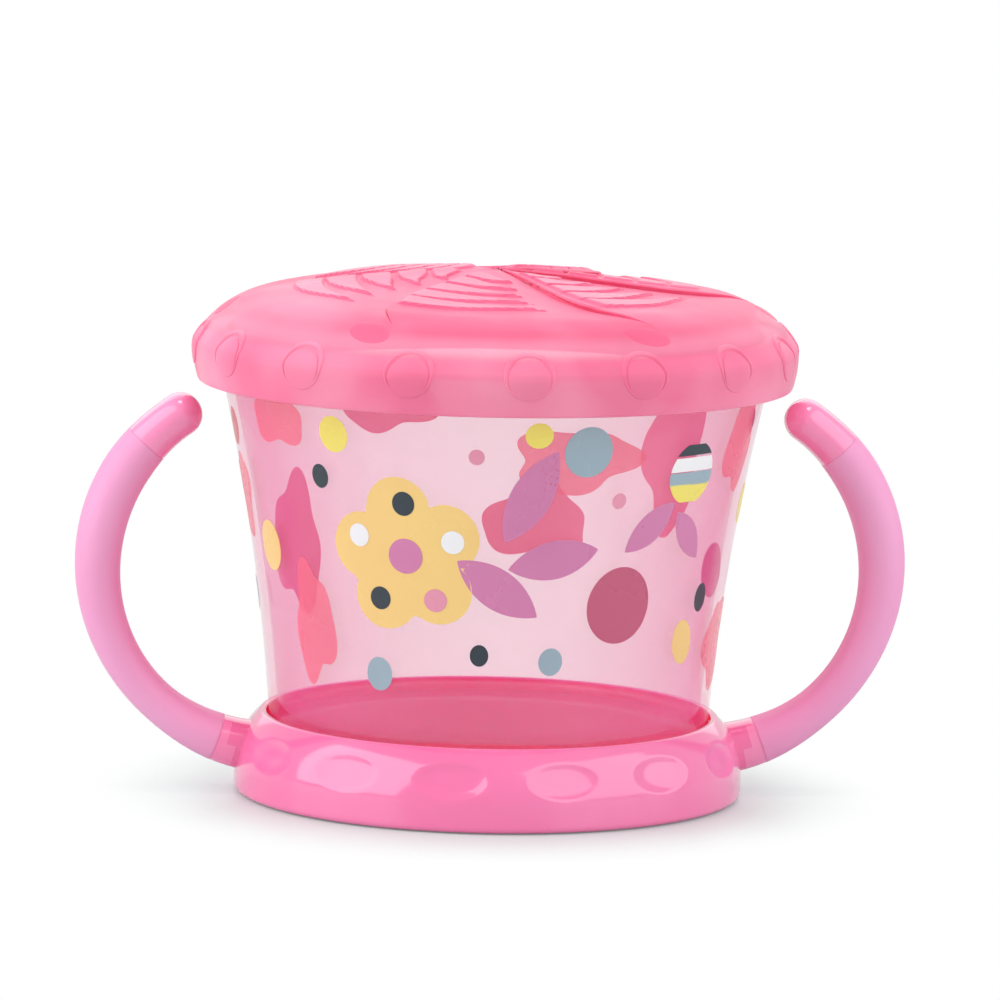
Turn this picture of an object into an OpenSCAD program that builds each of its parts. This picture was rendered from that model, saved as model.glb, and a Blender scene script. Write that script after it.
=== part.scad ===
// Toddler snack cup: a flared cup standing in a two-handled base,
// under a soft lid whose six curved flaps let a small hand in.
// Millimetres. Origin at the centre of the underside, +Z up, handles along X, front at -Y.

/* [Base] */
// Thickness of the collar at its top edge
collar_t = 0.95; // [0.7:0.05:4]
// Height of the upright side below the shoulder
base_side_h = 4; // [3:0.1:5]
// Radius of the rounded shoulder
shoulder_r = 12; // [11:0.1:15]
// Height of the collar's top edge
collar_h = 13.2; // [12.5:0.1:15]
// Thickness of the base's floor
base_floor_t = 1.8; // [1.2:0.1:3]
// Rounding of the foot's lower edge
foot_round = 1; // [0.4:0.1:2]

/* [Thumb dimples] */
// Places round the base, two of which the handles take
dimple_places = 14; // [10:4:18]
// Length of a dimple along the side
dimple_len = 12.4; // [9:0.1:15]
// Radius of the ball that scoops a dimple
dimple_ball_r = 8; // [6:0.1:12]
// Depth of a dimple
dimple_depth = 0.6; // [0.3:0.1:0.9]
// Height of a dimple's centre
dimple_z = 8.5; // [7.5:0.1:9.5]

/* [Handles] */
// Radius of a handle's curve
handle_arc_r = 30.5; // [28:0.1:34]
// How far inside the base's edge that curve has its centre
handle_sink = 7.3; // [6:0.1:8.5]
// Height of that curve's centre
handle_arc_z = 37.4; // [36:0.1:39]
// Width of a handle, seen from the front
handle_w = 7.6; // [6.5:0.1:8.5]
// Depth of a handle, front to back
handle_d = 10; // [9:0.1:13]
// Angle at which a handle starts, inside the base's side
handle_root_a = -84; // [-86:1:-80]
// Angle at which a handle ends, above its curve's centre
handle_tip_a = 56; // [48:1:62]
// Thickness of the soft grip
grip_t = 1; // [0.6:0.1:1.6]
// Angle at which the grip starts, near the base
grip_start_a = -70; // [-72:1:-60]
// Angle at which the grip ends, near the tip
grip_end_a = 42; // [30:1:46]
// Gap between a grip and its core
grip_fit = 0.05; // [0.02:0.01:0.1]

/* [Cup] */
// Outer radius of the cup where it stands in the base
cup_foot_r = 36.7; // [34:0.1:40]
// Wall thickness of the cup
cup_wall = 1.5; // [1.2:0.1:2]
// Height of the cup's rim
cup_rim_z = 77; // [72:0.5:84]
// Height of the cup's floor, inside
cup_floor_z = 13; // [11:0.1:16]
// Thickness of the cup's floor
cup_floor_t = 1.6; // [1.2:0.1:2.4]
// Outward slope of the wall at the collar
cup_slope = 0.075; // [0.06:0.005:0.09]
// Radius of the wall's flare
cup_flare_r = 356; // [330:1:400]
// Rounding between the floor and the wall, inside
cup_round = 3; // [1:0.1:5]
// How far the rim's bead stands out
bead_out = 0.3; // [0.2:0.1:0.6]
// Height of the rim's bead
bead_h = 1.5; // [1:0.1:2.5]
// Gap all round between the cup's foot and the base
foot_clear = 0.35; // [0.3:0.05:0.6]

/* [Lid] */
// Thickness of the lid's dome and flaps
lid_t = 1.5; // [1.2:0.1:2]
// Thickness of the band at its widest
band_t = 2.4; // [2:0.1:3]
// How far the band reaches below the cup's rim
band_drop = 8.4; // [7:0.1:10]
// Height of the band's widest place above its lower edge
band_mid = 5.5; // [4.5:0.1:6.5]
// Radius of the band's bulge, seen in section
band_bulge_r = 17; // [15:0.5:24]
// Height of the lid's middle above the cup's rim
lid_rise = 10.5; // [10.2:0.1:12]
// Angle at which the dome falls off from its middle
dome_slope = 6; // [4:0.5:7]
// Distance from the band's outside in to where the dome's side starts to round over
dome_run = 12.9; // [12:0.1:14]
// Radius of the dome's side, seen in section
dome_r = 16.8; // [16:0.1:19]
// Depth of the sealing skirt inside the cup's mouth
skirt_h = 3; // [2:0.1:5]
// Thickness of the sealing skirt
skirt_t = 1.2; // [0.8:0.1:2]
// Gap between the lid and the cup's rim
lid_clear = 0.3; // [0.3:0.05:0.6]

/* [Lid's raised rings] */
// Number of rings round the band
ring_count = 16; // [12:4:20]
// Outer radius of a ring
ring_r = 4.3; // [4:0.1:5]
// Width of a ring's line
ring_line = 0.8; // [0.5:0.1:1.2]
// Radius of the raised spot inside a ring
spot_r = 2.9; // [2:0.1:3]
// How far rings and spots stand out
ring_out = 0.4; // [0.2:0.05:0.6]
// Height of the rings' centres above the band's lower edge
ring_z = 6.6; // [6:0.1:7]

/* [Flaps] */
// Distance from the band's inside in to a slit's outer end
slit_inset = 4.9; // [4.4:0.1:5.9]
// Angle that a slit turns through, seen from the middle
slit_sweep = 52.9; // [51:0.1:56]
// Angle of the first slit's arc centre, from the front towards +X
slit_turn = 17; // [0:1:59]
// Width of a slit
slit_gap = 0.35; // [0.3:0.05:0.6]
// Distance from a slit's outer end in to a flap's fold line
fold_inset = 9.4; // [8:0.1:10]
// Height of the fold line's axis below the lid's top
fold_drop = 4.9; // [4.6:0.1:5.1]
// Radius of the rolled joint along the fold line
fold_r = 3; // [2.9:0.1:3.2]
// Radius of the round relief at a slit's outer end
relief_r = 2.1; // [1.6:0.1:2.4]
// Radius of the small hole where the flap tips meet
tip_hole_r = 1; // [0.6:0.1:2]
// Height of a flap's raised leading edge over the flap beside it
lap_rise = 0.8; // [0.4:0.1:1]
// Width of that raised edge
lap_w = 8; // [5:0.5:10]
// Distance from the lid's middle at which it starts
lap_from_r = 6; // [5:0.5:10]

/* [Hidden] */
flap_count = 6;
$fn = 96;

over = 1;           // how far a cutter passes the face that it cuts
over_a = 1;         // the same on a curve, as an angle
seat_gap = 0.1;     // gap where one piece stands on another
arc_steps = 6;      // points on a small rounding
flare_steps = 10;   // points on the cup's flared wall
dome_steps = 10;    // points on the dome's rounded side

base_pink = [1.0, 0.53, 0.74];
grip_pink = [0.93, 0.49, 0.68];
cup_pink = [0.97, 0.80, 0.88, 0.55];
lid_pink = [1.0, 0.55, 0.70];
flap_pink = [1.0, 0.66, 0.78];

// Outer radius of the cup's wall at height z: upright in the base, then flared
function wall_r(z) = let (up = max(z - collar_h, 0))
    cup_foot_r + cup_slope * up + up * up / (2 * cup_flare_r);

// Points on an arc round [x, y], from angle a0 to a1
function arc(x, y, r, a0, a1, steps) =
    [for (i = [0:steps]) let (a = a0 + (a1 - a0) * i / steps) [x + r * cos(a), y + r * sin(a)]];

// The base's well, in which the cup stands, and the base round it
well_r = cup_foot_r + foot_clear;
cup_foot_z = base_floor_t + seat_gap;
base_r = well_r + collar_t + shoulder_r - sqrt(pow(shoulder_r, 2) - pow(collar_h - base_side_h, 2));
handle_arc_x = base_r - handle_sink;

// The cup's mouth
rim_out_r = wall_r(cup_rim_z) + bead_out;

// The lid, from the cup's rim
seat_z = cup_rim_z + seat_gap;
band_in_r = rim_out_r + lid_clear;
band_out_r = band_in_r + band_t;
band_low_z = cup_rim_z - band_drop;
band_mid_z = band_low_z + band_mid;
lid_top_z = cup_rim_z + lid_rise;
dome_from_r = band_out_r - dome_run;
dome_from_z = lid_top_z - dome_from_r * tan(dome_slope);
skirt_low_z = cup_rim_z - skirt_h;
skirt_out_r = wall_r(skirt_low_z) - cup_wall - lid_clear;

// A slit's arc passes through the middle.
// fold_a is the direction square to a flap's fold line, counted like slit_turn from the front.
slit_end_r = band_in_r - slit_inset;
slit_arc_r = slit_end_r / (2 * cos(slit_sweep));
fold_dist = slit_end_r - fold_inset;
slit_end_a = slit_turn - slit_sweep;
fold_a = slit_end_a + acos(fold_dist / slit_end_r);
next_slit_a = slit_turn + 360 / flap_count - fold_a;
fold_z = lid_top_z - fold_drop;
// Where the fold line's inner edge meets the next slit, along the fold line
fold_inner = fold_dist - fold_r - slit_gap;
fold_end = slit_arc_r * sin(next_slit_a)
    - sqrt(pow(slit_arc_r + slit_gap / 2, 2) - pow(fold_inner - slit_arc_r * cos(next_slit_a), 2));

// Where the raised rings' cutters start, inside the lid
rings_in_r = band_in_r - 2 * band_t;

dimple_a = asin((dimple_z - base_side_h) / shoulder_r);
dimple_half = sqrt(pow(dimple_ball_r, 2) - pow(dimple_ball_r - dimple_depth, 2));

// Base: a dish with a rounded shoulder and a collar, and one curved core for each handle
module base() {
    color(base_pink)
    difference() {
        union() {
            rotate_extrude() base_section();
            for (side = [0, 1]) mirror([side, 0, 0]) handle_core();
        }
        translate([0, 0, base_floor_t]) cylinder(r = well_r, h = collar_h);
        for (i = [0:dimple_places - 1]) {
            a = (i + 0.5) * 360 / dimple_places;
            if (abs(cos(a)) > sin(90 / dimple_places)) rotate([0, 0, a - 90]) dimple();
        }
    }
}

module base_section() {
    translate([0, foot_round]) square([base_r, base_side_h - foot_round]);
    square([base_r - foot_round, base_side_h]);
    translate([base_r - foot_round, foot_round]) circle(foot_round);
    intersection() {
        translate([0, base_side_h / 2]) square([base_r, collar_h - base_side_h / 2]);
        union() {
            square([base_r - shoulder_r, collar_h]);
            translate([base_r - shoulder_r, base_side_h]) circle(shoulder_r);
        }
    }
}

// A shallow oval scooped out of the shoulder, at +X
module dimple() {
    reach = shoulder_r + dimple_ball_r - dimple_depth;
    run = dimple_len - 2 * dimple_half;
    translate([base_r - shoulder_r + reach * cos(dimple_a), 0, base_side_h + reach * sin(dimple_a)])
    rotate([90, 0, 0]) {
        cylinder(r = dimple_ball_r, h = run, center = true);
        for (end = [-1, 1]) translate([0, 0, end * run / 2]) sphere(dimple_ball_r);
    }
}

// A handle's section with fully rounded edges, in by some thickness
module bar_section(in) {
    r = handle_w / 2;
    flat = handle_d - handle_w;
    translate([handle_arc_r, 0]) {
        for (end = [-1, 1]) translate([0, end * flat / 2]) circle(r - in);
        translate([in - r, -flat / 2]) square([2 * (r - in), flat]);
    }
}

// A stretch of the handle on the +X side, between two angles of its curve
module bar(in, a0, a1) {
    translate([handle_arc_x, 0, handle_arc_z]) rotate([90, 0, 0])
    rotate([0, 0, a0]) rotate_extrude(angle = a1 - a0) bar_section(in);
}

// The hard core: full size at its root and tip, thinner inside the grip
module handle_core() {
    bar(0, handle_root_a, grip_start_a);
    bar(grip_t, grip_start_a - over_a, grip_end_a + over_a);
    bar(0, grip_end_a, handle_tip_a);
    translate([handle_arc_x, 0, handle_arc_z]) rotate([90, 0, 0])
    rotate([0, 0, handle_tip_a]) translate([handle_arc_r, 0, 0]) {
        flat = handle_d - handle_w;
        cylinder(r = handle_w / 2, h = flat, center = true);
        for (end = [-1, 1]) translate([0, 0, end * flat / 2]) sphere(handle_w / 2);
    }
}

// Grip: the soft sleeve moulded over a handle's core
module grip() {
    end_gap = grip_fit * 180 / (PI * handle_arc_r);
    color(grip_pink)
    difference() {
        bar(0, grip_start_a + end_gap, grip_end_a - end_gap);
        bar(grip_t - grip_fit, grip_start_a - over_a, grip_end_a + over_a);
    }
}

// Cup: flared wall, raised floor, and a foot ring that stands in the base
module cup() {
    low = collar_h;
    top = cup_rim_z - bead_h;
    outer = [for (i = [0:flare_steps]) let (z = low + (top - low) * i / flare_steps) [wall_r(z), z]];
    inner_low = cup_floor_z + cup_round;
    inner = [for (i = [0:flare_steps])
             let (z = cup_rim_z + (inner_low - cup_rim_z) * i / flare_steps) [wall_r(z) - cup_wall, z]];
    foot_in_r = cup_foot_r - cup_wall;
    color(cup_pink)
    rotate_extrude()
    polygon(concat(
        [[foot_in_r, cup_floor_z - cup_floor_t], [foot_in_r, cup_foot_z], [cup_foot_r, cup_foot_z]],
        outer,
        [[rim_out_r, top], [rim_out_r, cup_rim_z]],
        inner,
        arc(wall_r(inner_low) - cup_wall - cup_round, inner_low, cup_round, 0, -90, arc_steps),
        [[0, cup_floor_z], [0, cup_floor_z - cup_floor_t]]));
}

// The lid's outer shape in section, in by some thickness: a bulged band under a dome
module lid_outline(in) {
    intersection() {
        union() {
            square([band_out_r - band_bulge_r, lid_top_z]);
            translate([band_out_r - band_bulge_r, band_mid_z]) circle(band_bulge_r - in);
        }
        dome_section(in);
    }
}

// The dome's outline, in by some thickness: a low cone whose side rounds over
module dome_section(in) {
    x = dome_from_r - dome_r * sin(dome_slope);
    z = dome_from_z - dome_r * cos(dome_slope);
    polygon(concat([[0, 0], [0, lid_top_z - in / cos(dome_slope)]],
                   arc(x, z, dome_r - in, 90 - dome_slope, 0, dome_steps),
                   [[x + dome_r - in, 0]]));
}

module lid_section() {
    difference() {
        intersection() {
            lid_outline(0);
            translate([0, band_low_z]) square([band_out_r, lid_top_z - band_low_z]);
        }
        // under the dome, inside the sealing skirt
        intersection() {
            dome_section(lid_t);
            square([skirt_out_r - skirt_t, lid_top_z]);
        }
        // the channel that takes the cup's rim
        translate([skirt_out_r, skirt_low_z]) square([band_in_r - skirt_out_r, seat_z - skirt_low_z]);
        // below the skirt
        translate([0, band_low_z - over]) square([band_in_r, skirt_low_z - band_low_z + over]);
    }
}

// The raised rings and spots, which follow the band and the dome's side
module raised_rings() {
    for (i = [0:ring_count - 1])
        rotate([0, 0, i * 360 / ring_count - 90])
        intersection() {
            rotate([0, 0, -180 / ring_count]) rotate_extrude(angle = 360 / ring_count)
            intersection() {
                difference() {
                    lid_outline(-ring_out);
                    lid_outline(ring_out);
                }
                translate([rings_in_r, band_low_z]) square([band_out_r - rings_in_r + over, lid_top_z - band_low_z]);
            }
            translate([rings_in_r, 0, band_low_z + ring_z]) rotate([0, 90, 0]) {
                reach = band_out_r - rings_in_r + over;
                difference() {
                    cylinder(r = ring_r, h = reach);
                    translate([0, 0, -over]) cylinder(r = ring_r - ring_line, h = reach + 2 * over);
                }
                cylinder(r = spot_r, h = reach);
            }
        }
}

// Turns what is drawn beside the fold line at +X to its place on flap i
module at_flap(i) {
    rotate([0, 0, fold_a - 90 + (i - 1) * 360 / flap_count]) children();
}

// A slit's arc as a disc, its edge moved out by some distance. side 0 is the flap's own slit, 1 the next one
module slit_disc(side, out) {
    a = side * 360 / flap_count + slit_turn - fold_a;
    translate([slit_arc_r * cos(a), slit_arc_r * sin(a)]) circle(slit_arc_r + out);
}

// The space of one flap, grown by half the slit (grow = 1) for its opening or shrunk by it (grow = -1)
module flap_space(grow) {
    more = (grow + 1) / 2 * slit_gap;
    tall = lid_top_z - band_low_z;
    intersection() {
        translate([0, 0, band_low_z]) linear_extrude(tall + over) difference() {
            slit_disc(0, grow * slit_gap / 2);
            slit_disc(1, -grow * slit_gap / 2);
        }
        union() {
            // the blade, inside the rolled joint
            translate([-fold_inner, -slit_end_r, band_low_z])
                cube([2 * fold_inner + more, 2 * slit_end_r, tall + over]);
            // its root, as far as the next slit
            translate([0, -slit_end_r, band_low_z])
                cube([fold_dist, slit_end_r + fold_end + more, tall + over]);
            translate([fold_dist, -slit_end_r, fold_z]) rotate([-90, 0, 0])
                cylinder(r = fold_r + more, h = slit_end_r + fold_end + more);
        }
    }
}

// The round relief at a slit's outer end
module relief() {
    a = slit_end_a - fold_a;
    translate([slit_end_r * cos(a), slit_end_r * sin(a), skirt_low_z])
        cylinder(r = relief_r, h = lid_top_z - skirt_low_z + over);
}

// Lid rim: the band, its channel and the dome's ring round the flaps
module lid_rim() {
    color(lid_pink)
    difference() {
        union() {
            rotate_extrude() lid_section();
            raised_rings();
        }
        for (i = [1:flap_count]) at_flap(i) {
            flap_space(1);
            relief();
        }
        translate([0, 0, skirt_low_z]) cylinder(r = tip_hole_r, h = lid_top_z - skirt_low_z + over);
    }
}

// The dome's shell between two depths below its outer face and two distances from the middle
module dome_shell(out, in, from_r, to_r) {
    rotate_extrude() intersection() {
        difference() {
            dome_section(out);
            dome_section(in);
        }
        translate([from_r, skirt_low_z]) square([to_r - from_r, lid_top_z]);
    }
}

// A flap's leading edge, raised along its own slit as far as the rolled joint
module raised_edge() {
    intersection() {
        dome_shell(-lap_rise, lid_t / 2, lap_from_r, slit_end_r);
        translate([0, 0, skirt_low_z]) linear_extrude(lid_top_z) difference() {
            slit_disc(0, 0);
            slit_disc(0, -slit_gap / 2 - lap_w);
        }
        translate([-fold_inner, -slit_end_r, skirt_low_z]) cube([2 * fold_inner, 2 * slit_end_r, lid_top_z]);
    }
}

// Flap: one curved blade of the dome, which folds at its root
module flap(i) {
    color(flap_pink)
    at_flap(i)
    difference() {
        intersection() {
            union() {
                dome_shell(0, lid_t, 0, slit_end_r + fold_r);
                raised_edge();
            }
            flap_space(-1);
        }
        relief();
        rotate([0, 0, 360 / flap_count]) relief();
        translate([0, 0, skirt_low_z]) cylinder(r = tip_hole_r, h = lid_top_z - skirt_low_z + over);
    }
}

base();
mirror([1, 0, 0]) grip();  // left_grip
grip();  // right_grip
cup();
lid_rim();
for (i = [1:flap_count])
    flap(i);
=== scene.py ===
import math
import bpy
from mathutils import Matrix, Vector


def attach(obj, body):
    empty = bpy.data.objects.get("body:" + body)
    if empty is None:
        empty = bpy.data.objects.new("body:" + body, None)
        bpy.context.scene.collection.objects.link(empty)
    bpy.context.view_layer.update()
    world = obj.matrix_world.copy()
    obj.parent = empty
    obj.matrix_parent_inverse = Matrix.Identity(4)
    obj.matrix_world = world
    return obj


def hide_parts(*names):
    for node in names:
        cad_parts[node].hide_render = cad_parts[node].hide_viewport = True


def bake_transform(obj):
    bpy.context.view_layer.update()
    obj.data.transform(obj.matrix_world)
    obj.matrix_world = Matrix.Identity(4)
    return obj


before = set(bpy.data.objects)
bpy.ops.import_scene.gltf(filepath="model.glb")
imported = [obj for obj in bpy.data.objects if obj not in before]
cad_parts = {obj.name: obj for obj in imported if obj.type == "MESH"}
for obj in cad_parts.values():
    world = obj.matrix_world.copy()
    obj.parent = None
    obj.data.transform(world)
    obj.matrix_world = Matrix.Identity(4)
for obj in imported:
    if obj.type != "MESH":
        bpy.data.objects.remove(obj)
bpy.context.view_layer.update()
mm = 0.001


# small tools for modelling

def deselectEverything():
    if bpy.context.object and bpy.context.object.mode != "OBJECT":
        bpy.ops.object.mode_set(mode="OBJECT")
    bpy.ops.object.select_all(action="DESELECT")


def pickOnly(piece):
    deselectEverything()
    piece.select_set(True)
    bpy.context.view_layer.objects.active = piece


def applyModifier(piece, kind, **settings):
    pickOnly(piece)
    modifier = piece.modifiers.new(kind.title(), kind)
    for key, value in settings.items():
        setattr(modifier, key, value)
    bpy.ops.object.modifier_apply(modifier=modifier.name)


def finishPiece(piece, name, materials, smoothAngle=40):
    pickOnly(piece)
    bpy.ops.object.transform_apply(location=True, rotation=True, scale=True)
    bpy.ops.object.shade_smooth_by_angle(angle=math.radians(smoothAngle))
    piece.name = name
    piece.data.name = name
    if len(piece.data.materials) == 0:
        for material in materials:
            piece.data.materials.append(material)
    return piece


def faceOutwards(piece, merge=0):
    # normals outwards, once points closer than merge, in mm, have become one
    pickOnly(piece)
    bpy.ops.object.mode_set(mode="EDIT")
    bpy.ops.mesh.select_all(action="SELECT")
    if merge > 0:
        bpy.ops.mesh.remove_doubles(threshold=merge * mm)
    bpy.ops.mesh.normals_make_consistent(inside=False)
    bpy.ops.object.mode_set(mode="OBJECT")


def joinParts(parts):
    # all of them become one piece with the first
    deselectEverything()
    for part in parts:
        part.select_set(True)
    bpy.context.view_layer.objects.active = parts[0]
    if len(parts) > 1:
        bpy.ops.object.join()
    return parts[0]


def spinProfile(points, steps):
    # a line of points (radius, height) in mm, extruded point by point, then spun round the cup's axis
    deselectEverything()
    bpy.ops.mesh.primitive_plane_add(size=mm, location=(points[0][0] * mm, 0, points[0][1] * mm))
    piece = bpy.context.object
    bpy.ops.object.transform_apply(location=True)
    bpy.ops.object.mode_set(mode="EDIT")
    bpy.ops.mesh.select_all(action="SELECT")
    bpy.ops.mesh.merge(type="CENTER")
    for (r0, z0), (r1, z1) in zip(points, points[1:]):
        move = ((r1 - r0) * mm, 0, (z1 - z0) * mm)
        bpy.ops.mesh.extrude_region_move(TRANSFORM_OT_translate={"value": move})
    bpy.ops.mesh.select_all(action="SELECT")
    bpy.ops.mesh.spin(steps=steps, angle=2 * math.pi, center=(0, 0, 0), axis=(0, 0, 1))
    bpy.ops.object.mode_set(mode="OBJECT")
    faceOutwards(piece, 0.005)
    return piece


def arcPoints(x, z, r, fromAngle, toAngle, count):
    angles = [math.radians(fromAngle + (toAngle - fromAngle) * i / count) for i in range(count + 1)]
    return [(x + r * math.cos(a), z + r * math.sin(a)) for a in angles]


def between(a, b, count):
    # points along a straight line, both ends left out
    return [(a[0] + (b[0] - a[0]) * i / count, a[1] + (b[1] - a[1]) * i / count)
            for i in range(1, count)]


def ease(low, high, value):
    t = min(max((value - low) / (high - low), 0), 1)
    return t * t * (3 - 2 * t)


def paint(red, green, blue):
    # a colour as a screen shows it, 0 to 255, for a shader's socket
    def linear(v):
        v /= 255
        return v / 12.92 if v < 0.04045 else ((v + 0.055) / 1.055) ** 2.4
    return (linear(red), linear(green), linear(blue), 1)


# finishes

def newGroup(name, inputs, outputs):
    group = bpy.data.node_groups.new(name, "ShaderNodeTree")
    for label, kind, value in inputs:
        socket = group.interface.new_socket(name=label, in_out="INPUT", socket_type=kind)
        if value is not None:
            socket.default_value = value
    for label, kind in outputs:
        group.interface.new_socket(name=label, in_out="OUTPUT", socket_type=kind)
    return group, group.nodes.new("NodeGroupInput"), group.nodes.new("NodeGroupOutput")


def mathNode(tree, operation, *values):
    # each value is a socket to link or a plain number
    node = tree.nodes.new("ShaderNodeMath")
    node.operation = operation
    for socket, value in zip(node.inputs, values):
        if isinstance(value, (int, float)):
            socket.default_value = value
        else:
            tree.links.new(value, socket)
    return node.outputs["Value"]


def rangeNode(tree, value, fromMin, fromMax, toMin, toMax, smooth=False):
    # a socket's value, taken from one range to another
    node = tree.nodes.new("ShaderNodeMapRange")
    if smooth:
        node.interpolation_type = "SMOOTHSTEP"
    node.inputs["From Min"].default_value = fromMin
    node.inputs["From Max"].default_value = fromMax
    node.inputs["To Min"].default_value = toMin
    node.inputs["To Max"].default_value = toMax
    tree.links.new(value, node.inputs["Value"])
    return node.outputs["Result"]


def mouldedFinishGroup():
    # the faint orange-peel and polish marks of a moulded face
    group, source, result = newGroup("mouldedFinish", [
        ("Coordinates", "NodeSocketVector", None), ("Grain Scale", "NodeSocketFloat", 900),
        ("Polished", "NodeSocketFloat", 0.2), ("Dulled", "NodeSocketFloat", 0.3)],
        [("Roughness", "NodeSocketFloat"), ("Height", "NodeSocketFloat")])
    nodes, links = group.nodes, group.links
    grain = nodes.new("ShaderNodeTexNoise")
    grain.inputs["Detail"].default_value = 3
    links.new(source.outputs["Coordinates"], grain.inputs["Vector"])
    links.new(source.outputs["Grain Scale"], grain.inputs["Scale"])
    handled = nodes.new("ShaderNodeTexNoise")
    handled.inputs["Scale"].default_value = 70
    handled.inputs["Detail"].default_value = 4
    links.new(source.outputs["Coordinates"], handled.inputs["Vector"])
    spread = nodes.new("ShaderNodeMapRange")
    spread.inputs["From Min"].default_value = 0.35
    spread.inputs["From Max"].default_value = 0.7
    links.new(handled.outputs["Fac"], spread.inputs["Value"])
    links.new(source.outputs["Polished"], spread.inputs["To Min"])
    links.new(source.outputs["Dulled"], spread.inputs["To Max"])
    links.new(spread.outputs["Result"], result.inputs["Roughness"])
    links.new(grain.outputs["Fac"], result.inputs["Height"])
    return group


def tintDriftGroup():
    # dye that is a little uneven, as in a soft translucent moulding
    group, source, result = newGroup("tintDrift", [
        ("Coordinates", "NodeSocketVector", None), ("Drift Scale", "NodeSocketFloat", 30),
        ("Main Tint", "NodeSocketColor", None), ("Drift Tint", "NodeSocketColor", None)],
        [("Color", "NodeSocketColor")])
    nodes, links = group.nodes, group.links
    cloud = nodes.new("ShaderNodeTexNoise")
    cloud.inputs["Detail"].default_value = 2
    links.new(source.outputs["Coordinates"], cloud.inputs["Vector"])
    links.new(source.outputs["Drift Scale"], cloud.inputs["Scale"])
    blendTints = nodes.new("ShaderNodeMix")
    blendTints.data_type = "RGBA"
    links.new(rangeNode(group, cloud.outputs["Fac"], 0.4, 0.65, 0, 1), blendTints.inputs["Factor"])
    links.new(source.outputs["Main Tint"], blendTints.inputs["A"])
    links.new(source.outputs["Drift Tint"], blendTints.inputs["B"])
    links.new(blendTints.outputs["Result"], result.inputs["Color"])
    return group


# the two heights in mm between which a mask on the lid's rim changes, and its value below and above
rimDepths = {"bandEnds": (77.0, 78.4, 1, 0), "highlightStarts": (77.4, 78.8, 0, 1),
             "highlightEnds": (79.4, 81.4, 1, 0)}


def rimDepthGroup():
    # masks by height: the band that lies double over the cup's rim, and the strip above it where a
    # highlight is painted
    group, start, end = newGroup("rimDepth", [("Coordinates", "NodeSocketVector", None)],
                                 [("Dense", "NodeSocketFloat"), ("Painted Highlight", "NodeSocketFloat")])
    nodes, links = group.nodes, group.links
    split = nodes.new("ShaderNodeSeparateXYZ")
    links.new(start.outputs["Coordinates"], split.inputs[0])
    masks = {name: rangeNode(group, split.outputs["Z"], low * mm, high * mm, before, after, smooth=True)
             for name, (low, high, before, after) in rimDepths.items()}
    links.new(masks["bandEnds"], end.inputs["Dense"])
    links.new(mathNode(group, "MULTIPLY", masks["highlightStarts"], masks["highlightEnds"]), end.inputs["Painted Highlight"])
    return group


mouldedFinish = mouldedFinishGroup()
tintDrift = tintDriftGroup()
rimDepth = rimDepthGroup()


def mouldedMaterial(name, main, drift, polished, dulled,
                    grainScale=900, driftScale=30, bump=0.02, coat=0.0):
    # one shader with both groups on it; what differs between finishes is added by the caller
    material = bpy.data.materials.new(name)
    material.use_nodes = True
    nodes, links = material.node_tree.nodes, material.node_tree.links
    shader = nodes["Principled BSDF"]
    place = nodes.new("ShaderNodeTexCoord")
    finish = nodes.new("ShaderNodeGroup")
    finish.node_tree = mouldedFinish
    finish.inputs["Grain Scale"].default_value = grainScale
    finish.inputs["Polished"].default_value = polished
    finish.inputs["Dulled"].default_value = dulled
    tint = nodes.new("ShaderNodeGroup")
    tint.node_tree = tintDrift
    tint.inputs["Drift Scale"].default_value = driftScale
    tint.inputs["Main Tint"].default_value = main
    tint.inputs["Drift Tint"].default_value = drift
    links.new(place.outputs["Object"], finish.inputs["Coordinates"])
    links.new(place.outputs["Object"], tint.inputs["Coordinates"])
    skin = nodes.new("ShaderNodeBump")
    skin.inputs["Strength"].default_value = 1
    skin.inputs["Distance"].default_value = bump * mm
    links.new(finish.outputs["Height"], skin.inputs["Height"])
    links.new(finish.outputs["Roughness"], shader.inputs["Roughness"])
    links.new(tint.outputs["Color"], shader.inputs["Base Color"])
    links.new(skin.outputs["Normal"], shader.inputs["Normal"])
    shader.inputs["Coat Weight"].default_value = coat
    shader.inputs["Coat Roughness"].default_value = 0.08
    return material


def facingAlpha(material, faceOn, edgeOn, shaded):
    # a thin wall is easy to see through face-on and dense at its edges, and lets part of the light in
    tree = material.node_tree
    weight = tree.nodes.new("ShaderNodeLayerWeight")
    weight.inputs["Blend"].default_value = 0.5
    path = tree.nodes.new("ShaderNodeLightPath")
    spread = rangeNode(tree, weight.outputs["Facing"], 0, 1, faceOn, edgeOn)
    dimmed = rangeNode(tree, path.outputs["Is Shadow Ray"], 0, 1, 1, shaded)
    cover = mathNode(tree, "MULTIPLY", spread, dimmed)
    tree.links.new(cover, tree.nodes["Principled BSDF"].inputs["Alpha"])


def layerRim(material, pale, highlightShare, denser):
    # the strip above the cup's rim is painted paler, a painted highlight where its slope catches the light,
    # and the band over the rim is harder to see through
    tree = material.node_tree
    nodes, links = tree.nodes, tree.links
    shader = nodes["Principled BSDF"]
    place = nodes.new("ShaderNodeTexCoord")
    depth = nodes.new("ShaderNodeGroup")
    depth.node_tree = rimDepth
    links.new(place.outputs["Object"], depth.inputs["Coordinates"])
    mix = nodes.new("ShaderNodeMix")
    mix.data_type = "RGBA"
    mix.inputs["B"].default_value = pale
    links.new(mathNode(tree, "MULTIPLY", depth.outputs["Painted Highlight"], highlightShare), mix.inputs["Factor"])
    links.new(shader.inputs["Base Color"].links[0].from_socket, mix.inputs["A"])
    links.new(mix.outputs["Result"], shader.inputs["Base Color"])
    more = mathNode(tree, "MULTIPLY_ADD", depth.outputs["Dense"], denser, 1)
    alpha = shader.inputs["Alpha"].links[0].from_socket
    links.new(mathNode(tree, "MULTIPLY", alpha, more), shader.inputs["Alpha"])


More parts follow.
